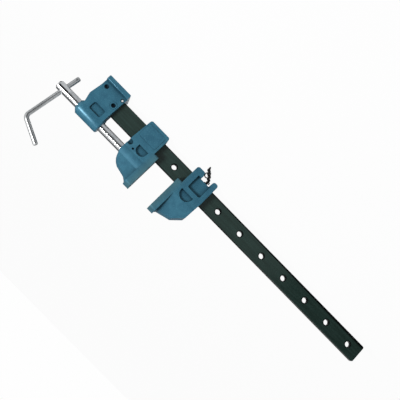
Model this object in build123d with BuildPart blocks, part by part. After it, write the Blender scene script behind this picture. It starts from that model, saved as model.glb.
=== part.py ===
import os
from math import cos, radians, sin

from build123d import *

os.makedirs("parts", exist_ok=True)

# A bar clamp that stands on its cast feet. X runs along the bar from the head to the tail,
# Z is up, and the peg stands on the -Y side, which is the clamp's back. The origin is the
# middle of the head's foot, on the bench. All sizes are in millimetres.

# Clearances
slide_clearance = 0.3
running_clearance = 0.1
seat_gap = 0.2

# Bar: flat steel set on edge, with a row of peg holes
bar_width = 32.0
bar_thickness = 8.0
bar_above_bench = 11.0
bar_corner_radius = 3.0
bar_end_inset = 0.5
first_hole_x = 153.3
hole_pitch = 50.8
hole_count = 9
hole_diameter = 9.5
last_hole_to_end = 24.2

# Head casting
head_length = 47.0
head_foot_depth = 42.0
head_foot_height = 8.0
head_ankle_height = 19.0
head_ankle_inset = 1.0
head_draft = 1.5
head_bulge = 2.9
head_waist = 1.9
head_corner_radius = 1.8
head_boss_radius = 14.0
head_boss_nose = 26.6
head_boss_tail = 24.4
head_boss_chamfer = 5.5
head_recess_length = 23.5
head_recess_height = 15.0
head_recess_depth = 3.0
head_recess_corner = 3.5
head_recess_lift = 3.0
head_recess_shift = 1.8

# Rivets and lock pin that hold the head on the bar, placed from the foot's ends and the
# bar's centre line
rivet_diameter = 8.0
rivet_recess = 4.5
rivet_low_inset = 8.3
rivet_low_drop = 10.6
rivet_high_inset = 8.9
rivet_high_rise = 3.9
rivet_pad_radius = 5.8
rivet_pad_height = 0.8
lock_pin_diameter = 4.5
lock_pin_inset = 4.7
lock_pin_drop = 12.6
lock_pin_dish_radius = 3.3
lock_pin_dish_depth = 2.0
lock_pin_stand = 1.0
lock_pin_chamfer = 0.6

# Screw, held in the moving jaw by a pin that lies across its groove
screw_above_bar = 23.6
screw_diameter = 16.0
screw_outer_x = -72.6
screw_end_chamfer = 2.5
screw_tip_chamfer = 1.0
screw_groove_radius = 6.2
groove_width = 4.6
cross_hole_x = -59.9
retaining_pin_diameter = 4.0
retaining_pin_inset = 14.6
retaining_pin_recess = 4.5

# Castings that slide: both have the same depth, face plate and taper
casting_depth = 34.0
casting_corner_radius = 4.0
plate_thickness = 11.6
plate_overlap = 2.0
plate_bottom_below_bar_top = 5.5
plate_top_above_bar = 61.2
plate_corner_radius = 4.0
shoulder_above_bar = 17.0
crown_thickness = 16.0
window_above_bar = 2.5
window_depth = 4.0

# Moving jaw
jaw_back_x = 72.0
jaw_body_length = 44.2
jaw_above_bench = 2.6
jaw_boss_radius = 17.0
socket_depth = 28.0
jaw_heel_rise = 6.0
jaw_foot_inset = 2.8
jaw_crest_inset = 16.2
jaw_crest_drop = 12.3
jaw_shoulder_inset = 6.0
jaw_shoulder_drop = 20.0
jaw_toe_inset = 5.6
jaw_toe_drop = 4.7
jaw_window_inset = 26.8
jaw_window_radius = 10.0
jaw_brow_inset = 10.4
jaw_brow_drop = 8.0
jaw_panel_margin = 4.4
jaw_panel_bottom = 6.3
jaw_panel_height = 25.8
jaw_panel_rise = 0.6
jaw_panel_corner = 3.0
back_dimple_inset = 3.6
back_dimple_lift = 1.6
back_dimple_radius = 4.8
back_dimple_depth = 5.0

# Tail slide, measured from the peg's axis
slide_face_to_peg = 34.0
slide_peg_to_rear = 21.9
slide_rear_lean = 1.8
slide_corner_drop = 28.2
slide_knee = 5.0
slide_knee_drop = 12.4
slide_crown = 6.9
slide_crown_drop = 9.1
slide_toe_inset = 4.4
slide_toe_drop = 5.4
slide_window_shift = 5.1
slide_window_radius = 12.5
pocket_length = 26.5
pocket_height = 26.6
pocket_depth = 5.0
pocket_corner_radius = 3.0
notch_front = 6.8
notch_rear = 11.6
notch_rise = 0.4
lug_radius = 4.5

# Peg
peg_diameter = 9.0
peg_tip_gap = 1.0
peg_blind_depth = 5.0
peg_tip_chamfer = 1.2
peg_head_diameter = 15.0
peg_head_thickness = 5.0
peg_eye_radius = 4.5
peg_eye_reach = 5.5
peg_eye_thickness = 2.4
peg_eye_hole = 5.2

# Cranked handle that slides in the screw's cross hole
handle_diameter = 8.0
handle_lean = 7.0
handle_short_arm = 30.9
handle_long_arm = 75.2
crank_arm = 50.4
crank_rise = 25.4
handle_bend_radius = 9.0
handle_end_chamfer = 1.2
stop_pin_diameter = 3.0
stop_pin_length = 12.0
stop_pin_from_end = 5.5

# Chain: a run of links from the peg's eye down to the bench and forward under the slide, a
# ring, and a short run beyond it
chain_wire = 1.9
link_length = 12.0
link_width = 6.8
link_play = 0.3
chain_step = 0.05
chain_height = 3.6
chain_bend_radius = 18.0
chain_turn_shift = 6.3
chain_turn_y = -2.0
chain_front_shift = -8.4
chain_front_y = 66.0
long_run_links = 12
short_run_links = 3
ring_wire = 1.9
ring_radius = 4.3

# Levels and places that follow from the sizes above
bar_bottom_z = bar_above_bench
bar_top_z = bar_bottom_z + bar_width
bar_centre_z = (bar_bottom_z + bar_top_z) / 2
bar_tail_x = first_hole_x + (hole_count - 1) * hole_pitch + last_hole_to_end
bar_head_end_x = bar_end_inset - head_length / 2
bar_length = bar_tail_x - bar_head_end_x
screw_z = bar_top_z + screw_above_bar
plate_bottom_z = bar_top_z - plate_bottom_below_bar_top
plate_top_z = bar_top_z + plate_top_above_bar
shoulder_z = bar_top_z + shoulder_above_bar
window_bottom_z = bar_top_z + window_above_bar

head_body_depth = 2 * head_boss_radius
rivet_low = (rivet_low_inset - head_length / 2, bar_centre_z - rivet_low_drop)
rivet_high = (head_length / 2 - rivet_high_inset, bar_centre_z + rivet_high_rise)
lock_pin_place = (head_length / 2 - lock_pin_inset, bar_centre_z - lock_pin_drop)

groove_x = jaw_back_x + retaining_pin_inset
screw_inner_x = jaw_back_x + socket_depth - seat_gap
retaining_pin_z = screw_z - screw_groove_radius - retaining_pin_diameter / 2 - running_clearance
jaw_body_end_x = jaw_back_x + jaw_body_length
jaw_window_x = jaw_back_x + jaw_window_inset
jaw_panel_length = jaw_body_length - 2 * jaw_panel_margin
jaw_panel_middle = (
    jaw_back_x + jaw_body_length / 2,
    jaw_above_bench + jaw_panel_bottom + jaw_panel_height / 2,
)
back_dimple_place = (
    jaw_back_x + back_dimple_inset,
    (bar_top_z + shoulder_z) / 2 + back_dimple_lift,
)
jaw_crest = (jaw_back_x + jaw_crest_inset, plate_top_z - jaw_crest_drop)
jaw_heel = (jaw_back_x, screw_z + jaw_heel_rise)
jaw_shoulder = (jaw_back_x + jaw_shoulder_inset, plate_top_z - jaw_shoulder_drop)

peg_x = first_hole_x + hole_pitch
slide_face_x = peg_x - slide_face_to_peg
slide_back_x = slide_face_x + plate_thickness - plate_overlap
slide_rear_x = peg_x + slide_peg_to_rear
peg_tip_y = -bar_thickness / 2 - peg_tip_gap
peg_blind_y = bar_thickness / 2 + slide_clearance + peg_blind_depth
peg_stroke = peg_blind_y - slide_clearance - peg_tip_y
peg_head_y = pocket_depth - casting_depth / 2 - slide_clearance - peg_stroke
peg_eye_y = peg_head_y - peg_head_thickness - peg_eye_reach

lean_x = -sin(radians(handle_lean))
lean_z = cos(radians(handle_lean))
crank_x = cos(radians(crank_rise))
crank_z = sin(radians(crank_rise))
handle_foot = (cross_hole_x - handle_short_arm * lean_x, 0, screw_z - handle_short_arm * lean_z)
handle_bend = (cross_hole_x + handle_long_arm * lean_x, 0, screw_z + handle_long_arm * lean_z)
handle_tip = (handle_bend[0] + crank_arm * crank_x, 0, handle_bend[2] + crank_arm * crank_z)
stop_pin_place = (
    handle_foot[0] + stop_pin_from_end * lean_x,
    0,
    handle_foot[2] + stop_pin_from_end * lean_z,
)
link_side = link_width / 2 - chain_wire / 2
link_reach = link_length / 2 - chain_wire / 2
link_end = link_reach - link_side


def cross_section(x, z, radius):
    """A circle in the bar's middle plane."""
    with BuildSketch(Plane.XZ) as section:
        with Locations((x, z)):
            Circle(radius)
    return section.sketch


def bar_slot(start_x, end_x, clearance):
    """The opening that the bar passes through, cut from the part being built."""
    with BuildSketch(Plane.YZ.offset(start_x)) as slot:
        with Locations((0, bar_centre_z)):
            Rectangle(bar_thickness + 2 * clearance, bar_width + 2 * clearance)
    extrude(slot.sketch, amount=end_x - start_x, mode=Mode.SUBTRACT)


def screw_bore(start_x, end_x):
    """The round hole that the screw turns in, cut from the part being built."""
    with BuildSketch(Plane.YZ.offset(start_x)) as bore:
        with Locations((0, screw_z)):
            Circle(screw_diameter / 2 + running_clearance)
    extrude(bore.sketch, amount=end_x - start_x, mode=Mode.SUBTRACT)


def casting_profile(start_x, length, boss_radius):
    """Keeps what lies inside the end view: a block that tapers upward, swelled by a boss."""
    with BuildSketch(Plane.YZ.offset(start_x)) as profile:
        with BuildLine():
            Polyline(
                (-casting_depth / 2, 0),
                (casting_depth / 2, 0),
                (casting_depth / 2, shoulder_z),
                (crown_thickness / 2, plate_top_z),
                (-crown_thickness / 2, plate_top_z),
                (-casting_depth / 2, shoulder_z),
                close=True,
            )
        make_face()
        if boss_radius > 0:
            with Locations((0, screw_z)):
                Circle(boss_radius)
    extrude(profile.sketch, amount=length, mode=Mode.INTERSECT)


def face_plate(start_x):
    """The upright plate that bears on the work; its lower end straddles the bar."""
    with BuildSketch(Plane.YZ.offset(start_x)) as plate:
        with Locations((0, (plate_bottom_z + plate_top_z) / 2)):
            RectangleRounded(casting_depth, plate_top_z - plate_bottom_z, plate_corner_radius)
    extrude(plate.sketch, amount=plate_thickness)


def window(centre_x, radius):
    """A round-topped hollow in both broad faces, just above the bar."""
    spring_z = shoulder_z - radius
    sill_z = min(window_bottom_z, spring_z - seat_gap)
    for side in (-1, 1):
        with BuildSketch(Plane.XZ.offset(side * casting_depth / 2)) as hollow:
            with BuildLine():
                Polyline(
                    (centre_x + radius, spring_z),
                    (centre_x + radius, sill_z),
                    (centre_x - radius, sill_z),
                    (centre_x - radius, spring_z),
                )
                ThreePointArc(
                    (centre_x - radius, spring_z),
                    (centre_x, shoulder_z),
                    (centre_x + radius, spring_z),
                )
            make_face()
        extrude(hollow.sketch, amount=-side * window_depth, mode=Mode.SUBTRACT)


# Bar
with BuildPart() as bar:
    with BuildSketch(Plane.XZ.offset(-bar_thickness / 2)):
        with Locations((bar_head_end_x + bar_length / 2, bar_centre_z)):
            RectangleRounded(bar_length, bar_width, bar_corner_radius)
        with Locations((first_hole_x + (hole_count - 1) * hole_pitch / 2, bar_centre_z)):
            with GridLocations(hole_pitch, 1, hole_count, 1):
                Circle(hole_diameter / 2, mode=Mode.SUBTRACT)
        with Locations(rivet_low, rivet_high):
            Circle(rivet_diameter / 2, mode=Mode.SUBTRACT)
        with Locations(lock_pin_place):
            Circle(lock_pin_diameter / 2, mode=Mode.SUBTRACT)
    extrude(amount=bar_thickness)
bar.part.label = "bar"
export_step(bar.part, "parts/bar.step")

# Head casting: a block round the bar's end, a wide foot, and the screw's boss on top
with BuildPart() as head:
    with BuildSketch(Plane.XZ) as head_outline:
        with BuildLine():
            Polyline(
                (-head_length / 2, 0),
                (head_length / 2, 0),
                (head_length / 2, head_foot_height),
                (head_length / 2 - head_ankle_inset, head_ankle_height),
                (head_length / 2 - head_draft, shoulder_z),
                (head_length / 2 - head_draft, screw_z),
                (head_waist - head_length / 2, screw_z),
                (head_waist - head_length / 2, shoulder_z),
                (-head_length / 2 - head_bulge, bar_top_z),
                (-head_length / 2, head_ankle_height),
                close=True,
            )
        make_face()
        fillet(head_outline.vertices(), radius=head_corner_radius)
    extrude(amount=head_foot_depth / 2, both=True)
    with BuildSketch(Plane.YZ.offset(-head_boss_nose)):
        with Locations((0, head_foot_height / 2)):
            RectangleRounded(head_foot_depth, head_foot_height, head_corner_radius)
        with Locations((0, screw_z / 2)):
            Rectangle(head_body_depth, screw_z)
    extrude(amount=head_boss_nose + head_length, mode=Mode.INTERSECT)
    with BuildSketch(Plane.XZ):
        with BuildLine():
            Polyline(
                (-head_boss_nose, screw_z),
                (-head_boss_nose, screw_z + head_boss_radius - head_boss_chamfer),
                (head_boss_chamfer - head_boss_nose, screw_z + head_boss_radius),
                (head_boss_tail - head_corner_radius, screw_z + head_boss_radius),
                (head_boss_tail, screw_z + head_boss_radius - head_corner_radius),
                (head_boss_tail, screw_z),
                close=True,
            )
        make_face()
    revolve(axis=Axis((0, 0, screw_z), (1, 0, 0)))
    for side in (-1, 1):
        broad_face = Plane.XZ.offset(side * head_body_depth / 2)
        with BuildSketch(broad_face):
            with Locations((head_recess_shift, (bar_top_z + shoulder_z) / 2 + head_recess_lift)):
                RectangleRounded(head_recess_length, head_recess_height, head_recess_corner)
        extrude(amount=-side * head_recess_depth, mode=Mode.SUBTRACT)
        with BuildSketch(broad_face):
            with Locations(rivet_high):
                Circle(rivet_pad_radius)
        extrude(amount=side * rivet_pad_height)
        with BuildSketch(broad_face):
            with Locations(lock_pin_place):
                Circle(lock_pin_dish_radius)
        extrude(amount=-side * lock_pin_dish_depth, mode=Mode.SUBTRACT)
    bar_slot(bar_head_end_x, head_length, 0)
    for place in (rivet_low, rivet_high):
        rivet_hole = cross_section(place[0], place[1], rivet_diameter / 2)
        extrude(rivet_hole, amount=head_foot_depth, both=True, mode=Mode.SUBTRACT)
    lock_pin_hole = cross_section(lock_pin_place[0], lock_pin_place[1], lock_pin_diameter / 2)
    extrude(lock_pin_hole, amount=head_foot_depth, both=True, mode=Mode.SUBTRACT)
    screw_bore(-head_boss_nose, head_length)
head.part.label = "head_casting"
export_step(head.part, "parts/head_casting.step")

# Rivets and lock pin: the rivets end short of the casting's faces, the pin shows in its dish
with BuildPart() as rivets:
    rivet_reach = head_body_depth / 2 - rivet_recess
    for place in (rivet_low, rivet_high):
        extrude(cross_section(place[0], place[1], rivet_diameter / 2), amount=rivet_reach, both=True)
rivets.part.label = "head_rivets"
export_step(rivets.part, "parts/head_rivets.step")

with BuildPart() as lock_pin:
    lock_pin_reach = head_body_depth / 2 - lock_pin_dish_depth + lock_pin_stand
    extrude(lock_pin_hole, amount=lock_pin_reach, both=True)
    chamfer(lock_pin.edges().filter_by(GeomType.CIRCLE), length=lock_pin_chamfer)
lock_pin.part.label = "head_lock_pin"
export_step(lock_pin.part, "parts/head_lock_pin.step")

# Screw: a round bar with a groove at the jaw end and a cross hole at the other
with BuildPart() as screw:
    with BuildSketch(Plane.XZ):
        with BuildLine():
            Polyline(
                (screw_outer_x, screw_z),
                (screw_outer_x, screw_z + screw_diameter / 2 - screw_end_chamfer),
                (screw_outer_x + screw_end_chamfer, screw_z + screw_diameter / 2),
                (groove_x - groove_width / 2, screw_z + screw_diameter / 2),
                (groove_x - groove_width / 2, screw_z + screw_groove_radius),
                (groove_x + groove_width / 2, screw_z + screw_groove_radius),
                (groove_x + groove_width / 2, screw_z + screw_diameter / 2),
                (screw_inner_x - screw_tip_chamfer, screw_z + screw_diameter / 2),
                (screw_inner_x, screw_z + screw_diameter / 2 - screw_tip_chamfer),
                (screw_inner_x, screw_z),
                close=True,
            )
        make_face()
    revolve(axis=Axis((0, 0, screw_z), (1, 0, 0)))
    with BuildSketch(Plane(origin=(cross_hole_x, 0, screw_z), z_dir=(lean_x, 0, lean_z))):
        Circle(handle_diameter / 2 + running_clearance)
    extrude(amount=screw_diameter, both=True, mode=Mode.SUBTRACT)
screw.part.label = "screw"
export_step(screw.part, "parts/screw.step")

# Cranked handle, with a stop pin through its short end
with BuildPart() as handle:
    with BuildLine() as handle_line:
        FilletPolyline(handle_foot, handle_bend, handle_tip, radius=handle_bend_radius)
    with BuildSketch(Plane(origin=handle_foot, z_dir=(lean_x, 0, lean_z))):
        Circle(handle_diameter / 2)
    sweep(path=handle_line.line)
    chamfer(handle.edges().sort_by(Axis.Z)[0], length=handle_end_chamfer)
    chamfer(handle.edges().sort_by(Axis.Z)[-1], length=handle_end_chamfer)
    with BuildSketch(Plane(origin=stop_pin_place, z_dir=(0, 1, 0))):
        Circle(stop_pin_diameter / 2)
    extrude(amount=stop_pin_length / 2, both=True, mode=Mode.SUBTRACT)
handle.part.label = "tommy_bar"
export_step(handle.part, "parts/tommy_bar.step")

with BuildPart() as stop_pin:
    with BuildSketch(Plane(origin=stop_pin_place, z_dir=(0, 1, 0))):
        Circle(stop_pin_diameter / 2)
    extrude(amount=stop_pin_length / 2, both=True)
stop_pin.part.label = "tommy_stop_pin"
export_step(stop_pin.part, "parts/tommy_stop_pin.step")

# Moving jaw: runs on the bar, holds the screw's end in a socket, and carries a face plate
with BuildPart() as jaw:
    with BuildSketch(Plane.XZ) as jaw_outline:
        with BuildLine():
            Polyline(
                jaw_heel,
                (jaw_back_x, bar_top_z),
                (jaw_back_x + jaw_foot_inset, jaw_above_bench),
                (jaw_body_end_x, jaw_above_bench),
                (jaw_body_end_x, plate_top_z),
                (jaw_body_end_x - jaw_toe_inset, plate_top_z - jaw_toe_drop),
                (jaw_body_end_x - jaw_brow_inset, plate_top_z - jaw_brow_drop),
                jaw_crest,
            )
            ThreePointArc(jaw_crest, jaw_shoulder, jaw_heel)
        make_face()
        fillet(jaw_outline.vertices().group_by(Axis.Y)[0], radius=casting_corner_radius)
    extrude(amount=casting_depth / 2, both=True)
    casting_profile(jaw_back_x, jaw_body_length, jaw_boss_radius)
    face_plate(jaw_body_end_x - plate_overlap)
    window(jaw_window_x, jaw_window_radius)
    for side in (-1, 1):
        broad_face = Plane.XZ.offset(side * casting_depth / 2)
        with BuildSketch(broad_face):
            with Locations(jaw_panel_middle):
                RectangleRounded(jaw_panel_length, jaw_panel_height, jaw_panel_corner)
        extrude(amount=side * jaw_panel_rise)
        with BuildSketch(broad_face):
            with Locations(back_dimple_place):
                Circle(back_dimple_radius)
        extrude(amount=-side * back_dimple_depth, mode=Mode.SUBTRACT)
    bar_slot(0, bar_length, slide_clearance)
    retaining_pin_hole = cross_section(groove_x, retaining_pin_z, retaining_pin_diameter / 2)
    extrude(retaining_pin_hole, amount=casting_depth, both=True, mode=Mode.SUBTRACT)
    screw_bore(0, jaw_back_x + socket_depth)
jaw.part.label = "moving_jaw"
export_step(jaw.part, "parts/moving_jaw.step")

with BuildPart() as retaining_pin:
    retaining_pin_reach = casting_depth / 2 - retaining_pin_recess
    extrude(retaining_pin_hole, amount=retaining_pin_reach, both=True)
retaining_pin.part.label = "screw_retaining_pin"
export_step(retaining_pin.part, "parts/screw_retaining_pin.step")

# Tail slide: runs on the bar, with a pocket and a notch for the peg's head and chain
with BuildPart() as slide:
    with BuildSketch(Plane.XZ) as slide_outline:
        with BuildLine():
            Polyline(
                (slide_back_x, 0),
                (peg_x - notch_front, 0),
                (peg_x - notch_front, bar_bottom_z + notch_rise),
                (peg_x + notch_rear, bar_bottom_z + notch_rise),
                (peg_x + notch_rear, 0),
                (slide_rear_x, 0),
                (slide_rear_x, bar_top_z),
                (slide_rear_x - slide_rear_lean, plate_top_z - slide_corner_drop),
                (peg_x + slide_knee, plate_top_z - slide_knee_drop),
                (peg_x - slide_crown, plate_top_z - slide_crown_drop),
                (slide_back_x + slide_toe_inset, plate_top_z - slide_toe_drop),
                (slide_back_x, plate_top_z),
                close=True,
            )
        make_face()
        fillet(slide_outline.vertices().group_by(Axis.Y)[0], radius=lug_radius)
    extrude(amount=casting_depth / 2, both=True)
    casting_profile(slide_back_x, bar_length, 0)
    face_plate(slide_face_x)
    window(peg_x - slide_window_shift, slide_window_radius)
    for side in (-1, 1):
        with BuildSketch(Plane.XZ.offset(side * casting_depth / 2)) as pocket:
            with Locations((peg_x, bar_bottom_z + pocket_height / 2)):
                Rectangle(pocket_length, pocket_height)
            fillet(pocket.vertices().group_by(Axis.Y)[-1], radius=pocket_corner_radius)
        extrude(amount=-side * pocket_depth, mode=Mode.SUBTRACT)
    bar_slot(0, bar_length, slide_clearance)
    with BuildSketch(Plane.XZ.offset(-peg_blind_y)):
        with Locations((peg_x, bar_centre_z)):
            Circle(peg_diameter / 2 + running_clearance)
    extrude(amount=peg_blind_y + casting_depth / 2, mode=Mode.SUBTRACT)
slide.part.label = "tail_slide"
export_step(slide.part, "parts/tail_slide.step")

# Peg, drawn back out of the bar: its shank stays in the slide's rear wall
with BuildPart() as peg:
    with BuildSketch(Plane.XZ.offset(-peg_tip_y)):
        with Locations((peg_x, bar_centre_z)):
            Circle(peg_diameter / 2)
    extrude(amount=peg_tip_y - peg_head_y)
    chamfer(peg.edges().group_by(Axis.Y)[-1], length=peg_tip_chamfer)
    with BuildSketch(Plane.XZ.offset(-peg_head_y)):
        with Locations((peg_x, bar_centre_z)):
            Circle(peg_head_diameter / 2)
    extrude(amount=peg_head_thickness)
    with BuildSketch(Plane.YZ.offset(peg_x - peg_eye_thickness / 2)):
        with Locations((peg_eye_y, bar_centre_z)):
            Circle(peg_eye_radius)
        with Locations(((peg_eye_y + peg_head_y) / 2, bar_centre_z)):
            Rectangle(peg_head_y - peg_eye_y, 2 * peg_eye_radius)
        with Locations((peg_eye_y, bar_centre_z)):
            Circle(peg_eye_hole / 2, mode=Mode.SUBTRACT)
    extrude(amount=peg_eye_thickness)
peg.part.label = "peg"
export_step(peg.part, "parts/peg.step")

# Chain: each link stands a quarter turn round from the one before it, and is moved along the
# run until its end bears on that one
def chain_run(run, first_number, count, first_turn):
    """Makes the links along a run, and gives the place of the last one's far bow."""
    distance = link_reach
    for index in range(count):
        if index > 0:
            distance += 2 * link_reach - chain_wire
        hold = 0
        while hold < chain_wire + link_play:
            centre = run.position_at(distance / run.length)
            forward = run.tangent_at(distance / run.length)
            if index == 0:
                break
            hold = (far_bow - centre + forward * link_reach).dot((heading + forward).normalized())
            distance -= chain_step
        far_bow = centre + forward * link_reach
        heading = forward
        across = Vector(1, 0, 0).rotate(Axis((0, 0, 0), forward), 90 * ((index + first_turn) % 2))
        across = across - forward * across.dot(forward)
        with BuildPart() as link:
            with BuildLine(Plane(origin=centre, x_dir=across, z_dir=forward.cross(across))) as loop:
                Line((link_side, -link_end), (link_side, link_end))
                ThreePointArc((link_side, link_end), (0, link_reach), (-link_side, link_end))
                Line((-link_side, link_end), (-link_side, -link_end))
                ThreePointArc((-link_side, -link_end), (0, -link_reach), (link_side, -link_end))
            with BuildSketch(Plane(loop.line @ 0, z_dir=loop.line % 0)) as wire:
                Circle(chain_wire / 2)
            sweep(wire.sketch, path=loop.wire())
        link.part.label = f"chain_link_{first_number + index:02d}"
        export_step(link.part, f"parts/{link.part.label}.step")
    return far_bow


with BuildLine() as long_run:
    FilletPolyline(
        (peg_x, peg_eye_y, bar_centre_z),
        (peg_x, peg_eye_y, chain_height),
        (peg_x + chain_turn_shift, chain_turn_y, chain_height),
        (peg_x + chain_front_shift, chain_front_y, chain_height),
        radius=chain_bend_radius,
    )
last_bow = chain_run(long_run.wire(), 1, long_run_links, 0)

# The ring stands across the run, and both runs hook round its lowest point side by side
ahead = (long_run.wire() % 1).normalized()
beside = ahead.cross(Vector(0, 0, 1))
hook_reach = (ring_wire + chain_wire) / 2 + link_play
lane = (chain_wire + link_play) / 2
ring_foot = last_bow - ahead * hook_reach - beside * lane
ring_lift = ring_radius + hook_reach - link_side
ring_place = Plane(origin=ring_foot + Vector(0, 0, ring_lift), x_dir=beside, z_dir=ahead)
with BuildPart() as ring:
    with Locations(ring_place):
        Torus(ring_radius, ring_wire / 2)
ring.part.label = "chain_ring"
export_step(ring.part, "parts/chain_ring.step")

short_run_start = ring_foot - beside * lane - ahead * hook_reach
with BuildLine() as short_run:
    Line(short_run_start, short_run_start + ahead * short_run_links * link_length)
chain_run(short_run.wire(), long_run_links + 1, short_run_links, 1)
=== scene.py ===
# %% [markdown]
# # A bar clamp on cast feet
#
# A woodworker's clamp: a flat steel bar, a cast head that holds a screw, a moving jaw that the
# screw pushes, and a tail slide that a peg locks to any hole of the bar. The metal parts come
# from the CAD model, each as its own object in its true place. This lesson gives them their
# finishes, cuts the thread on the screw, and lights them on a pale bench. None of the CAD parts
# is moved, so everything here also holds when the jaw, the screw or the slide moves.

# %% The frame: the CAD parts, where they stand
import math

import bpy
from mathutils import Matrix, Vector


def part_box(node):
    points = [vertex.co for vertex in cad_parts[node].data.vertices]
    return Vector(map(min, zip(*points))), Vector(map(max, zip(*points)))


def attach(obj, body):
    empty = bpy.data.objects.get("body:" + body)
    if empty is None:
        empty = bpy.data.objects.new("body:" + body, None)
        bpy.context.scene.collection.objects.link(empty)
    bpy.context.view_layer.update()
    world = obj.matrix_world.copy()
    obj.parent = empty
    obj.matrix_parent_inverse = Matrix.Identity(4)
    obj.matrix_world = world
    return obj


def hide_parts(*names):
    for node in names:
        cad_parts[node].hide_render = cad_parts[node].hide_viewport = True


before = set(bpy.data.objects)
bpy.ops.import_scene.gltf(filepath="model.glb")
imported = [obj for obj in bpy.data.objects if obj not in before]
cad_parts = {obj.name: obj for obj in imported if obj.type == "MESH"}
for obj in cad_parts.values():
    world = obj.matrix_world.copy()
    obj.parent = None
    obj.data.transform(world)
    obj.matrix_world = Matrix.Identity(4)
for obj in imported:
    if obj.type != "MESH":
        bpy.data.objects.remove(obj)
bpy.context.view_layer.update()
scene = bpy.context.scene

# %% [markdown]
# ## Helpers for the finishes
#
# Every finish is a small graph of nodes. A finish could also be a painted picture wrapped round
# the part, but a picture has seams, needs an unwrapping and shows its dots up close. A pattern
# worked out from the point's own place has none of these faults. The places are in metres, so
# the scale of a pattern is simply one over its real size. Hex colours are written as a painter
# would read them off a chart, and one function turns them into the linear values that Blender
# works with.

# %% Colours and pattern scales
def linear(hex_colour):
    """A colour written as sRGB hex, as linear red, green, blue and alpha."""
    channels = [int(hex_colour[i : i + 2], 16) / 255 for i in (0, 2, 4)]
    return [c / 12.92 if c <= 0.04045 else ((c + 0.055) / 1.055) ** 2.4 for c in channels] + [1.0]


def per_size(millimetres):
    """The scale of a pattern whose features are this far apart."""
    return 1000 / millimetres


print("pattern scale for 5 mm features:", per_size(5))

# %% One function that adds a node, and the start of every finish
def feed(tree, node, inputs):
    """Gives each named input of a node a value, or a link from another node."""
    for socket, source in inputs.items():
        if isinstance(source, bpy.types.NodeSocket):
            tree.links.new(source, node.inputs[socket])
        else:
            node.inputs[socket].default_value = source


def add(tree, kind, inputs, **settings):
    """Adds one node with its settings and what comes into it."""
    node = tree.nodes.new(kind)
    for option, value in settings.items():
        setattr(node, option, value)
    feed(tree, node, inputs)
    return node


def empty_material(name):
    """A material whose graph is still to be drawn."""
    material = bpy.data.materials.new(name)
    material.use_nodes = True
    material.node_tree.nodes.clear()
    return material, material.node_tree


def new_finish(name):
    """A material with its surface shader, and the place of each point on the part."""
    material, tree = empty_material(name)
    shader = add(tree, "ShaderNodeBsdfPrincipled", {})
    add(tree, "ShaderNodeOutputMaterial", {"Surface": shader.outputs["BSDF"]})
    place = add(tree, "ShaderNodeTexCoord", {}).outputs["Object"]
    return material, tree, shader, place


print("helpers:", feed.__name__, add.__name__, empty_material.__name__, new_finish.__name__)

# %% [markdown]
# ## Speckle
#
# Cast skin, brush marks, rolled scale and rubbed patches are all uneven in the same way, and
# differ in size, in direction and in how strong they are. So one pattern serves them all: noise
# of a given size, drawn out along an axis where the tool ran along it, and spread over the
# numbers that the finish needs.
#
# A mix node keeps a pair of sockets for each kind of value. The colour ones are found by their
# place in the list.

# %% Noise of a real size
COLOUR_A, COLOUR_B, COLOUR_OUT = 6, 7, 2
EVEN = (1.0, 1.0, 1.0)


def speckle(tree, place, size, low=0.0, high=1.0, start=0.35, end=0.65, detail=3.0, stretch=EVEN):
    """Noise with features of this many millimetres, as numbers that run from low to high."""
    mapped = add(tree, "ShaderNodeMapping", {"Vector": place, "Scale": stretch})
    noise = add(
        tree,
        "ShaderNodeTexNoise",
        {"Vector": mapped.outputs["Vector"], "Scale": per_size(size), "Detail": detail},
    )
    spread = add(
        tree,
        "ShaderNodeMapRange",
        {
            "Value": noise.outputs["Fac"],
            "From Min": start,
            "From Max": end,
            "To Min": low,
            "To Max": high,
        },
    )
    return spread.outputs["Result"]


print("speckle runs from 0 to 1 unless a finish asks for other numbers")

# %% [markdown]
# ## Blue enamel on cast iron
#
# The head, the jaw and the slide are cast in sand. Sand leaves a skin of fine grains about a
# millimetre across, and brushed enamel softens it but does not hide it. A bump gives the grain
# its relief, because it is far too fine to model. Larger noise gives the brush's uneven coats.
#
# The corners and recesses get painted shade. That could be painted by hand, corner by corner,
# but an occlusion node finds the corners by itself: it measures how shut in each point is, and
# the colour deepens there into painted shade.
#
# Where the plates meet the work, glue and wood dust have left a grey-green film. It is strongest
# at the plates' faces and fades out behind them, so its strength is worked out from the distance
# to the middle of the gap between them.

# %% The film that the work leaves
WORK_X = 0.148
FILM_END = 0.024
FILM_START = 0.036
FILM_SHARE = 0.2
WORK_FILM = linear("5C6B50")


def work_film(tree, place):
    """How much of the film covers a point, by its distance from the middle of the work."""
    along = add(tree, "ShaderNodeSeparateXYZ", {"Vector": place}).outputs["X"]
    offset = add(tree, "ShaderNodeMath", {0: along, 1: WORK_X}, operation="SUBTRACT").outputs[0]
    distance = add(tree, "ShaderNodeMath", {0: offset}, operation="ABSOLUTE").outputs[0]
    fade = add(
        tree,
        "ShaderNodeMapRange",
        {
            "Value": distance,
            "From Min": FILM_END,
            "From Max": FILM_START,
            "To Min": FILM_SHARE,
            "To Max": 0.0,
        },
    )
    return fade.outputs["Result"]


print("the film is gone", round((FILM_START - FILM_END) * 1000), "mm behind each face")

# %% Blue enamel, rubbed bright on the head and dull on the jaw and the slide
ENAMEL = linear("2F5C6E")
ENAMEL_POOLED = linear("244C5F")
ENAMEL_THIN = linear("508192")
# Painted shade: the colour the enamel takes on in corners and recesses.
ENAMEL_PAINTED_SHADE = linear("122C38")
# The clear top of a coloured enamel gives its highlights a little of its own blue.
GLOSS_TINT = linear("9FD4EC")
CAST_GRAIN = 1.3
GRAIN_RELIEF = 0.00008
POOL_SIZE = 14.0
PAINTED_SHADE_REACH = 0.016
PAINTED_SHADE_FULL = 0.25
ROUGHNESS_SPAN = 0.1


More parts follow.
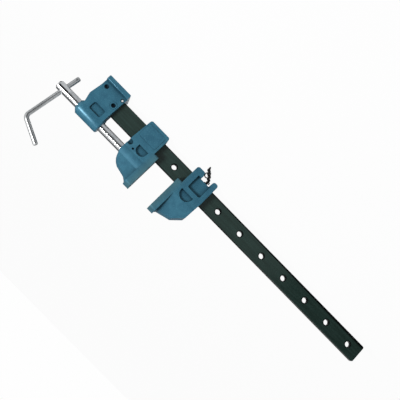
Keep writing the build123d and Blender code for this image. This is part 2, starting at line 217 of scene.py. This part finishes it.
def blue_enamel(name, roughness):
    """Brushed enamel over a sand-cast skin: an uneven coat over fine grain, painted shade in
    corners.
    """
    material, tree, shader, place = new_finish(name)
    pools = speckle(tree, place, POOL_SIZE, 0.0, 0.75)
    body = add(
        tree,
        "ShaderNodeMix",
        {"Factor": pools, COLOUR_A: ENAMEL, COLOUR_B: ENAMEL_POOLED},
        data_type="RGBA",
    ).outputs[COLOUR_OUT]
    worn = speckle(tree, place, CAST_GRAIN, 0.0, 0.35, 0.55, 0.75, detail=2.0)
    skin = add(
        tree,
        "ShaderNodeMix",
        {"Factor": worn, COLOUR_A: body, COLOUR_B: ENAMEL_THIN},
        data_type="RGBA",
    ).outputs[COLOUR_OUT]
    filmed = add(
        tree,
        "ShaderNodeMix",
        {"Factor": work_film(tree, place), COLOUR_A: skin, COLOUR_B: WORK_FILM},
        data_type="RGBA",
    ).outputs[COLOUR_OUT]
    # Painted shade: the occlusion node darkens the enamel where corners and recesses shut it in.
    openness = add(
        tree,
        "ShaderNodeAmbientOcclusion",
        {"Distance": PAINTED_SHADE_REACH},
        samples=8,
        only_local=True,
    ).outputs["AO"]
    clear = add(tree, "ShaderNodeMapRange", {"Value": openness, "From Min": PAINTED_SHADE_FULL})
    colour = add(
        tree,
        "ShaderNodeMix",
        {"Factor": clear.outputs["Result"], COLOUR_A: ENAMEL_PAINTED_SHADE, COLOUR_B: filmed},
        data_type="RGBA",
    ).outputs[COLOUR_OUT]
    grain = speckle(tree, place, CAST_GRAIN, start=0.0, end=1.0, detail=2.0)
    relief = add(
        tree, "ShaderNodeBump", {"Height": grain, "Strength": 0.5, "Distance": GRAIN_RELIEF}
    )
    feed(
        tree,
        shader,
        {
            "Base Color": colour,
            "Roughness": speckle(
                tree, place, CAST_GRAIN, roughness, roughness + ROUGHNESS_SPAN, detail=2.0
            ),
            "Specular Tint": GLOSS_TINT,
            "Normal": relief.outputs["Normal"],
        },
    )
    return material


glossy_enamel = blue_enamel("blue enamel on cast iron, rubbed bright", 0.27)
dull_enamel = blue_enamel("blue enamel on cast iron, dulled", 0.55)
print("made", glossy_enamel.name, "and", dull_enamel.name)

# %% [markdown]
# ## Painted shade over the sunk pins
#
# The rivets and the retaining pin lie deep in their holes. They could have the castings' own
# enamel, but at the bottom of a hole it lies in shade, with no shine at all, so the pins get a
# flat dark colour that is painted shade.

# %% Painted shade for the sunk pins
# Dark colours that are painted shade for the bottom of the pins' holes.
PIN_SHADE_DARK = linear("0E1B26")
PIN_SHADE_LIGHT = linear("1B3242")


def painted_shade_on_sunk_pins():
    """Painted shade for pins at the bottom of a recess: unevenly dark, and too rough to shine."""
    material, tree, shader, place = new_finish("painted shade over sunk pins")
    colour = add(
        tree,
        "ShaderNodeMix",
        {"Factor": speckle(tree, place, 2.0), COLOUR_A: PIN_SHADE_DARK, COLOUR_B: PIN_SHADE_LIGHT},
        data_type="RGBA",
    ).outputs[COLOUR_OUT]
    feed(tree, shader, {"Base Color": colour, "Roughness": 0.6, "Specular IOR Level": 0.2})
    return material


sunk = painted_shade_on_sunk_pins()
print("made", sunk.name)

# %% [markdown]
# ## Lacquered flat bar
#
# The bar is hot-rolled steel. Rolling draws its scale out into long faint streaks, and a light
# coat of dark green-black lacquer keeps it from rusting. Noise that is stretched along X gives
# the streaks.
#
# The narrow edges, the inside of the holes, a ring round each hole and a band along the bar's
# lower edge that widens towards the tail are made black as painted shade, for these lie in
# shadow. Each of these could be a strip of its own mesh, but they have no thickness worth the
# name. So three small sums find them: the surface normal tells the wide faces from the rest, the
# distance to the nearest hole's centre gives the rings, and the height above the lower edge
# gives the band.

# %% Where the bar gets painted shade
FIRST_HOLE_X = 0.1533
HOLE_PITCH = 0.0508
HOLE_Z = 0.027
HOLE_RADIUS = 0.00475
HOLE_SHADE_WIDTH = 0.0018
LOWER_EDGE_Z = 0.011
EDGE_SHADE_WIDTH_AT_HEAD = 0.0002
EDGE_SHADE_WIDENS = 0.007


def on_wide_faces(tree):
    """1 on the bar's two wide faces and 0 on its edges and in its holes, which get painted shade."""
    normal = add(tree, "ShaderNodeTexCoord", {}).outputs["Normal"]
    sideways = add(tree, "ShaderNodeSeparateXYZ", {"Vector": normal}).outputs["Y"]
    squared = add(tree, "ShaderNodeMath", {0: sideways, 1: sideways}, operation="MULTIPLY")
    step = {"Value": squared.outputs[0], "From Min": 0.5, "From Max": 0.9}
    return add(tree, "ShaderNodeMapRange", step).outputs["Result"]


def away_from_hole_shade(tree, point):
    """From 0 in the ring of painted shade round each hole to 1 outside it."""
    past_first = add(
        tree, "ShaderNodeMath", {0: point["X"], 1: FIRST_HOLE_X}, operation="SUBTRACT"
    ).outputs[0]
    nearest = add(
        tree, "ShaderNodeMath", {0: past_first, 1: HOLE_PITCH / 2}, operation="PINGPONG"
    ).outputs[0]
    before = add(tree, "ShaderNodeMath", {0: past_first, 1: -1.0}, operation="MULTIPLY").outputs[0]
    along = add(tree, "ShaderNodeMath", {0: nearest, 1: before}, operation="MAXIMUM").outputs[0]
    across = add(
        tree, "ShaderNodeMath", {0: point["Z"], 1: HOLE_Z}, operation="SUBTRACT"
    ).outputs[0]
    offset = add(tree, "ShaderNodeCombineXYZ", {"X": along, "Z": across}).outputs["Vector"]
    reach = add(tree, "ShaderNodeVectorMath", {0: offset}, operation="LENGTH").outputs["Value"]
    step = {
        "Value": reach,
        "From Min": HOLE_RADIUS + HOLE_SHADE_WIDTH / 2,
        "From Max": HOLE_RADIUS + HOLE_SHADE_WIDTH,
    }
    return add(tree, "ShaderNodeMapRange", step).outputs["Result"]


def above_the_edge_shade(tree, point):
    """0 on the band of painted shade along the lower edge and 1 above it."""
    height = add(
        tree, "ShaderNodeMath", {0: point["Z"], 1: LOWER_EDGE_Z}, operation="SUBTRACT"
    ).outputs[0]
    width = add(
        tree,
        "ShaderNodeMath",
        {0: point["X"], 1: EDGE_SHADE_WIDENS, 2: EDGE_SHADE_WIDTH_AT_HEAD},
        operation="MULTIPLY_ADD",
    ).outputs[0]
    widths = add(tree, "ShaderNodeMath", {0: height, 1: width}, operation="DIVIDE").outputs[0]
    step = {"Value": widths, "From Min": 0.8, "From Max": 1.2}
    return add(tree, "ShaderNodeMapRange", step).outputs["Result"]


print("the painted edge shade is", round(0.58 * EDGE_SHADE_WIDENS * 1000, 1), "mm wide at the tail")

# %% Dark lacquer on rolled steel
LACQUER = linear("1D302B")
LACQUER_DEEP = linear("162722")
# Black for the painted shade on the edges, in and round the holes and along the lower edge.
LACQUER_PAINTED_SHADE = linear("070B0A")
STREAK_WIDTH = 2.5
STREAK_DRAW = (0.06, 1.0, 1.0)
STREAK_RELIEF = 0.00005
SCALE_SIZE = 1.5


def dark_lacquer():
    """Lacquer over rolled scale: a satin green-black with streaks, and black as painted shade."""
    material, tree, shader, place = new_finish("dark lacquer on rolled steel")
    point = add(tree, "ShaderNodeSeparateXYZ", {"Vector": place}).outputs
    unshaded = on_wide_faces(tree)
    for share in (away_from_hole_shade(tree, point), above_the_edge_shade(tree, point)):
        unshaded = add(tree, "ShaderNodeMath", {0: unshaded, 1: share}, operation="MULTIPLY").outputs[0]
    streaks = speckle(tree, place, STREAK_WIDTH, stretch=STREAK_DRAW)
    film = add(
        tree,
        "ShaderNodeMix",
        {"Factor": streaks, COLOUR_A: LACQUER, COLOUR_B: LACQUER_DEEP},
        data_type="RGBA",
    ).outputs[COLOUR_OUT]
    # Painted shade: the bar is mixed to black wherever the mask above is 0.
    colour = add(
        tree,
        "ShaderNodeMix",
        {"Factor": unshaded, COLOUR_A: LACQUER_PAINTED_SHADE, COLOUR_B: film},
        data_type="RGBA",
    ).outputs[COLOUR_OUT]
    gloss = add(tree, "ShaderNodeMapRange", {"Value": unshaded, "To Min": 0.05, "To Max": 0.3})
    height = speckle(tree, place, STREAK_WIDTH, start=0.0, end=1.0, stretch=STREAK_DRAW)
    relief = add(
        tree, "ShaderNodeBump", {"Height": height, "Strength": 0.5, "Distance": STREAK_RELIEF}
    )
    feed(
        tree,
        shader,
        {
            "Base Color": colour,
            "Roughness": speckle(tree, place, SCALE_SIZE, 0.32, 0.5),
            "Specular IOR Level": gloss.outputs["Result"],
            "Normal": relief.outputs["Normal"],
        },
    )
    return material


lacquer = dark_lacquer()
print("made", lacquer.name)

# %% [markdown]
# ## Bright turned steel
#
# The screw, its handle and the pins are bare steel. A metal's colour is its reflection, so the
# base is a pale neutral grey, and what tells one steel from another is how sharp that reflection
# is. Turning leaves rings too fine to see at this distance, so they are drawn coarser than they
# are, as a change of roughness along the axis. Handling dulls the metal in patches about as wide
# as a fingertip. The lock pin is nickel-plated, which is paler than steel.

# %% Bare steel in four states
STEEL = linear("D9DADB")
STEEL_DULL = linear("C2C4C5")
STEEL_GREY = linear("A5A7A8")
STEEL_DARK = linear("4A4B4C")
DRAWN_STEEL = linear("8F9192")
NICKEL = linear("FCFCFA")
NICKEL_DULL = linear("F4F4F2")
TURNING_STEP = 0.8
PATCH_SIZE = 9.0
ROUND_THE_AXIS = (1.0, 0.1, 0.1)


def bare_steel(name, bright, dull, roughness, stretch=EVEN):
    """Bare metal with fine tool marks and patches that handling has dulled."""
    material, tree, shader, place = new_finish(name)
    colour = add(
        tree,
        "ShaderNodeMix",
        {"Factor": speckle(tree, place, PATCH_SIZE), COLOUR_A: bright, COLOUR_B: dull},
        data_type="RGBA",
    ).outputs[COLOUR_OUT]
    marks = speckle(
        tree, place, TURNING_STEP, roughness, roughness + ROUGHNESS_SPAN, stretch=stretch
    )
    feed(tree, shader, {"Base Color": colour, "Metallic": 1.0, "Roughness": marks})
    return material


turned_steel = bare_steel("turned steel", STEEL, STEEL_DULL, 0.1, ROUND_THE_AXIS)
handle_steel = bare_steel("handled steel rod", STEEL_DULL, STEEL_GREY, 0.3)
pin_steel = bare_steel("drawn steel pins", DRAWN_STEEL, STEEL_DARK, 0.4)
plated = bare_steel("nickel-plated pin", NICKEL, NICKEL_DULL, 0.15)
print("made", turned_steel.name, handle_steel.name, pin_steel.name, plated.name)

# %% [markdown]
# ## Blackened chain
#
# Small welded chain is often blackened by heating it and quenching it in oil. The black is an
# oxide, so it is not shiny like paint, but the crests of the links rub back to grey. Black paint
# would look wetter, and plain dark metal would lose the crests.

# %% Oil-blackened wire
OIL_BLACK = linear("161716")
RUBBED_GREY = linear("5A5C5D")
RUBBED_SPOT = 3.0
SCALE_GRAIN = 0.8
SCALE_RELIEF = 0.00005


def oil_black():
    """Blackened wire: a dull black oxide, rubbed grey in spots."""
    material, tree, shader, place = new_finish("oil-blackened wire")
    rubbed = speckle(tree, place, RUBBED_SPOT, 0.0, 0.5, 0.55, 0.7)
    colour = add(
        tree,
        "ShaderNodeMix",
        {"Factor": rubbed, COLOUR_A: OIL_BLACK, COLOUR_B: RUBBED_GREY},
        data_type="RGBA",
    ).outputs[COLOUR_OUT]
    grain = speckle(tree, place, SCALE_GRAIN, start=0.0, end=1.0)
    relief = add(
        tree, "ShaderNodeBump", {"Height": grain, "Strength": 0.5, "Distance": SCALE_RELIEF}
    )
    feed(
        tree,
        shader,
        {
            "Base Color": colour,
            "Metallic": 0.6,
            "Roughness": 0.45,
            "Normal": relief.outputs["Normal"],
        },
    )
    return material


blackened = oil_black()
print("made", blackened.name)

# %% [markdown]
# ## Finishes onto the parts
#
# A cast or rolled edge is never sharp, and a sharp one looks cut from card because it catches no
# light. The edges could be rounded in the CAD model, one by one. Here a weld joins the split
# corners that the CAD mesh comes with, and a small bevel then rounds every edge that turns by
# more than about a third of a right angle. The widths are in millimetres, and 0 leaves the CAD
# edges as they are.

# %% Put each finish on its parts and soften the edges
FINISHES = {
    "bar": (lacquer, 0.5),
    "head_casting": (glossy_enamel, 1.2),
    "moving_jaw": (dull_enamel, 1.2),
    "tail_slide": (dull_enamel, 1.2),
    "head_rivets": (sunk, 0),
    "head_lock_pin": (plated, 0),
    "tommy_bar": (handle_steel, 0),
    "tommy_stop_pin": (pin_steel, 0.3),
    "screw_retaining_pin": (sunk, 0),
    "peg": (pin_steel, 0.4),
    "screw": (turned_steel, 0),
}
EDGE_TURN = math.radians(35)
WELD_REACH = 1e-6
BEVEL_STEPS = 3

for name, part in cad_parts.items():
    finish, edge_round = FINISHES.get(name, (blackened, 0))
    part.data.materials.clear()
    part.data.materials.append(finish)
    if edge_round:
        weld = part.modifiers.new("join corners", "WELD")
        weld.merge_threshold = WELD_REACH
        bevel = part.modifiers.new("soft edges", "BEVEL")
        bevel.width = edge_round / 1000
        bevel.segments = BEVEL_STEPS
        bevel.limit_method = "ANGLE"
        bevel.angle_limit = EDGE_TURN
        bevel.use_clamp_overlap = True
        bevel.harden_normals = True
print("finished parts:", len(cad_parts))

# %% [markdown]
# ## The thread
#
# The CAD model keeps the screw as a plain bar with its end chamfers and its groove. Here it gets
# its thread. A bump in the material would leave the outline straight, and a profile swept along
# a helix has ends that must be closed by hand. But one turn of a screw moves the jaw by the
# thread's lead, so the thread's depth at any point depends only on how far along the bar it is,
# less the share of a turn that it has gone round. A grid of points on a cylinder, with each
# radius set by that rule, is a thread with no joins, and it fades out where the tool ran out.

# %% The screw's radius at any point
THREAD_LEAD = 0.002
THREAD_DEPTH = 0.0005
THREAD_START = -0.052
THREAD_RUN_OUT = 0.006
THREAD_CREST = 0.6
THREAD_FLANK = 0.2
OUTER_CHAMFER = 0.0025
FOOT_CHAMFER = 0.001
GROOVE_HALF_WIDTH = 0.0023
GROOVE_RADIUS = 0.0062
GROOVE_LAND = 0.002


def thread_profile(turns):
    """Depth of a square thread with wide crests, from 0 at the crest to 1 at the root."""
    phase = abs((turns % 1.0) - 0.5) * 2
    return min(1.0, max(0.0, (phase - THREAD_CREST) / THREAD_FLANK))


def screw_radius(x, low, high, groove_x, radius, turns):
    """The radius of the screw at one point along it, with its chamfers, groove and thread."""
    if x - low < OUTER_CHAMFER:
        return radius - (OUTER_CHAMFER - (x - low))
    if high - x < FOOT_CHAMFER:
        return radius - (FOOT_CHAMFER - (high - x))
    if abs(x - groove_x) <= GROOVE_HALF_WIDTH:
        return GROOVE_RADIUS
    thread_end = groove_x - GROOVE_HALF_WIDTH - GROOVE_LAND
    fade = min(1.0, max(0.0, (x - THREAD_START) / THREAD_RUN_OUT))
    fade *= min(1.0, max(0.0, (thread_end - x) / THREAD_RUN_OUT))
    return radius - THREAD_DEPTH * fade * thread_profile(turns)


print("thread depth at the crest and the root:", thread_profile(0.5), thread_profile(0.0))

# %% Cut the thread
RING_POINTS = 36
RINGS_PER_TURN = 10
THREAD_CORNER = math.radians(30)


def threaded_screw():
    """The screw with its thread, on the CAD screw's axis and between its ends."""
    low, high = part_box("screw")
    axis_z = (low.z + high.z) / 2
    radius = (high.z - low.z) / 2
    pin_low, pin_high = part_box("screw_retaining_pin")
    groove_x = (pin_low.x + pin_high.x) / 2
    count = round((high.x - low.x) / (THREAD_LEAD / RINGS_PER_TURN))
    verts = []
    for i in range(count + 1):
        x = low.x + (high.x - low.x) * i / count
        for k in range(RING_POINTS):
            turn = k / RING_POINTS
            r = screw_radius(x, low.x, high.x, groove_x, radius, x / THREAD_LEAD - turn)
            angle = 2 * math.pi * turn
            verts.append((x, r * math.cos(angle), axis_z + r * math.sin(angle)))
    faces = []
    for i in range(count):
        for k in range(RING_POINTS):
            a, b = i * RING_POINTS + k, i * RING_POINTS + (k + 1) % RING_POINTS
            faces.append((a, b, b + RING_POINTS, a + RING_POINTS))
    faces.append(tuple(reversed(range(RING_POINTS))))
    faces.append(tuple(range(count * RING_POINTS, (count + 1) * RING_POINTS)))
    mesh = bpy.data.meshes.new("threaded_screw")
    mesh.from_pydata(verts, [], faces)
    mesh.shade_smooth()
    mesh.set_sharp_from_angle(angle=THREAD_CORNER)
    mesh.materials.append(turned_steel)
    piece = bpy.data.objects.new("threaded_screw", mesh)
    scene.collection.objects.link(piece)
    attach(piece, "spindle")
    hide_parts("screw")
    return piece


screw_piece = threaded_screw()
print("thread points:", len(screw_piece.data.vertices))

# %% [markdown]
# ## The bench
#
# The clamp stands on a pale bench that runs out of sight. A curved backdrop would do the same in
# a studio, but from a low camera a flat plane that reaches the horizon looks no different. The
# camera should see plain white with just a trace of the clamp's shadow, so its rays get mostly
# a white glow and a little of the lit surface. Other rays meet a matt board, which throws soft
# light back up, and reflections see an even pale grey.

# %% A bench that the camera sees as white
BENCH_SIZE = 60.0
# A little lower than the feet, so that the two faces never share a plane.
BENCH_DROP = 0.0003
BENCH_GLOW_SHARE = 0.97
BENCH_BOARD = linear("BCBCBC")
BENCH_REFLECTED = linear("E2E4E6")
PLAIN_WHITE = linear("FEFEFE")


def bench_top():
    """A matt board that glows white towards the camera and pale grey in reflections."""
    material, tree = empty_material("pale bench top")
    matt = add(tree, "ShaderNodeBsdfDiffuse", {"Color": BENCH_BOARD}).outputs[0]
    white = add(tree, "ShaderNodeEmission", {"Color": PLAIN_WHITE}).outputs[0]
    grey = add(tree, "ShaderNodeEmission", {"Color": BENCH_REFLECTED}).outputs[0]
    path = add(tree, "ShaderNodeLightPath", {}).outputs
    share = add(
        tree,
        "ShaderNodeMath",
        {0: path["Is Camera Ray"], 1: BENCH_GLOW_SHARE},
        operation="MULTIPLY",
    ).outputs[0]
    unlit = add(tree, "ShaderNodeMixShader", {0: path["Is Glossy Ray"], 1: matt, 2: grey})
    both = add(tree, "ShaderNodeMixShader", {0: share, 1: unlit.outputs[0], 2: white})
    add(tree, "ShaderNodeOutputMaterial", {"Surface": both.outputs[0]})
    return material


def rectangle(name, corners, material):
    """A flat rectangle of one material that is part of the stage."""
    mesh = bpy.data.meshes.new(name)
    mesh.from_pydata(corners, [], [(0, 1, 2, 3)])
    mesh.materials.append(material)
    sheet = bpy.data.objects.new(name, mesh)
    scene.collection.objects.link(sheet)
    return sheet


half = BENCH_SIZE / 2
bench_corners = [(-half, -half, 0), (half, -half, 0), (half, half, 0), (-half, half, 0)]
bench = rectangle("bench", bench_corners, bench_top())
bench.location.z = -BENCH_DROP
print("bench", BENCH_SIZE, "m square")

# %% [markdown]
# ## The room
#
# A pale world fills the shadows evenly, as the walls of a white room would. Straight into the
# camera and in reflections it is plain white, so that the background and the metal agree.

# %% A white room with a grey fill
WORLD_FILL = 0.42
WORLD_COLOUR = linear("F4F8FC")


def pale_room():
    """A grey fill for the object, and white where a camera or glossy ray leaves the scene."""
    world = bpy.data.worlds.new("pale room")
    world.use_nodes = True
    tree = world.node_tree
    tree.nodes.clear()
    path = add(tree, "ShaderNodeLightPath", {}).outputs
    fill = add(tree, "ShaderNodeBackground", {"Color": WORLD_COLOUR, "Strength": WORLD_FILL})
    white = add(tree, "ShaderNodeBackground", {"Color": PLAIN_WHITE})
    seen = path["Is Camera Ray"]
    for ray in ("Is Transmission Ray", "Is Glossy Ray"):
        seen = add(tree, "ShaderNodeMath", {0: seen, 1: path[ray]}, operation="MAXIMUM").outputs[0]
    both = add(tree, "ShaderNodeMixShader", {0: seen, 1: fill.outputs[0], 2: white.outputs[0]})
    add(tree, "ShaderNodeOutputWorld", {"Surface": both.outputs[0]})
    return world


scene.world = pale_room()
print("world:", scene.world.name, "fill", WORLD_FILL)

# %% [markdown]
# ## Cards and cloths
#
# Bright metal shows its surroundings and little else, so a steel rod in an all-white room looks
# like chalk. A photographer stands dark cards and cloths around it, and the rod then carries
# dark and light bands along its length. The cards here are seen by reflections alone: they cast
# no shadow, and the camera looks straight through them. The one behind is only grey, so that
# the handle still looks like steel from the other side, and a small cloth close to the screw
# widens the dark band along its middle.

# %% Dark sheets that only reflections see
BLACK_CLOTH = linear("1C1F20")
GREY_CARD = linear("565A5C")


def dark_sheet(name, colour, near, far, start_x, end_x):
    """A sheet between a near and a far edge, each given as y and z, that only reflections see."""
    material, tree = empty_material(name)
    glow = add(tree, "ShaderNodeEmission", {"Color": colour}).outputs[0]
    add(tree, "ShaderNodeOutputMaterial", {"Surface": glow})
    corners = [(start_x, *near), (end_x, *near), (end_x, *far), (start_x, *far)]
    sheet = rectangle(name, corners, material)
    sheet.visible_camera = False
    sheet.visible_diffuse = False
    sheet.visible_transmission = False
    sheet.visible_shadow = False
    return sheet


SHEETS = (
    ("dark card in front", BLACK_CLOTH, (3.0, 0.0), (3.0, 3.0), -1.4, 1.2),
    ("dark cloth on the bench in front", BLACK_CLOTH, (0.45, 0.001), (3.0, 0.001), -1.4, 1.2),
    ("dark cloth before the screw", BLACK_CLOTH, (0.22, 0.001), (0.45, 0.001), -0.2, 0.06),
    ("grey card behind", GREY_CARD, (-1.0, 0.002), (-1.0, 5.5), -1.4, 0.5),
    ("dark cloth on the bench behind", BLACK_CLOTH, (-0.045, 0.001), (-0.25, 0.001), -0.35, 0.3),
    ("dark cloth before the bar's tail", BLACK_CLOTH, (0.015, 0.001), (0.45, 0.001), 0.42, 1.2),
)
sheets = [dark_sheet(*row) for row in SHEETS]
print("sheets:", [sheet.name for sheet in sheets])

# %% [markdown]
# ## The key lamp
#
# One soft lamp above the head end models the castings, and because it is near, the bar falls
# darker towards its tail. Two or three lamps would light it more evenly and flatten it.

# %% Key lamp
LAMP_PLACE = Vector((-0.42, 0.85, 1.0))
LAMP_AIM = Vector((0.1, 0.0, 0.05))
LAMP_SIZE = 0.35
LAMP_WATTS = 24

light = bpy.data.lights.new("key lamp", "AREA")
light.size = LAMP_SIZE
light.energy = LAMP_WATTS
lamp = bpy.data.objects.new("key lamp", light)
lamp.location = LAMP_PLACE
lamp.rotation_euler = (LAMP_AIM - LAMP_PLACE).to_track_quat("-Z", "Y").to_euler()
scene.collection.objects.link(lamp)
print("lamp", round((LAMP_AIM - LAMP_PLACE).length, 2), "m away")

# %% [markdown]
# ## Camera
#
# The photograph looks along the bench from a little above it, and the picture was then turned
# so that the bar runs down to the right. The camera could be turned by trial with three angles,
# but it is easier to build in the order in which the picture was made: stand in front of the
# clamp, look slightly down, then roll.

# %% Camera
LOOK_DOWN = math.radians(15)
DISTANCE = 1.223
STAND_X = 0.1867
AIM = Vector((0.2208, 0.0, 0.0339))
BAR_SLOPE = math.radians(45.2)
LENS = 67.5
SENSOR = 36

stand = Vector(
    (STAND_X, DISTANCE * math.cos(LOOK_DOWN), AIM.z + DISTANCE * math.sin(LOOK_DOWN))
)
forward = (AIM - stand).normalized()
level = forward.cross(Vector((0, 0, 1))).normalized()
upright = level.cross(forward)
roll = math.pi - BAR_SLOPE
right = math.cos(roll) * level - math.sin(roll) * upright
up = math.sin(roll) * level + math.cos(roll) * upright
camera_data = bpy.data.cameras.new("camera")
camera_data.lens = LENS
camera_data.sensor_width = SENSOR
camera = bpy.data.objects.new("camera", camera_data)
camera.matrix_world = Matrix.Translation(stand) @ Matrix((right, up, -forward)).transposed().to_4x4()
scene.collection.objects.link(camera)
scene.camera = camera
scene.view_settings.view_transform = "Standard"
print("camera at", [round(v, 3) for v in stand])
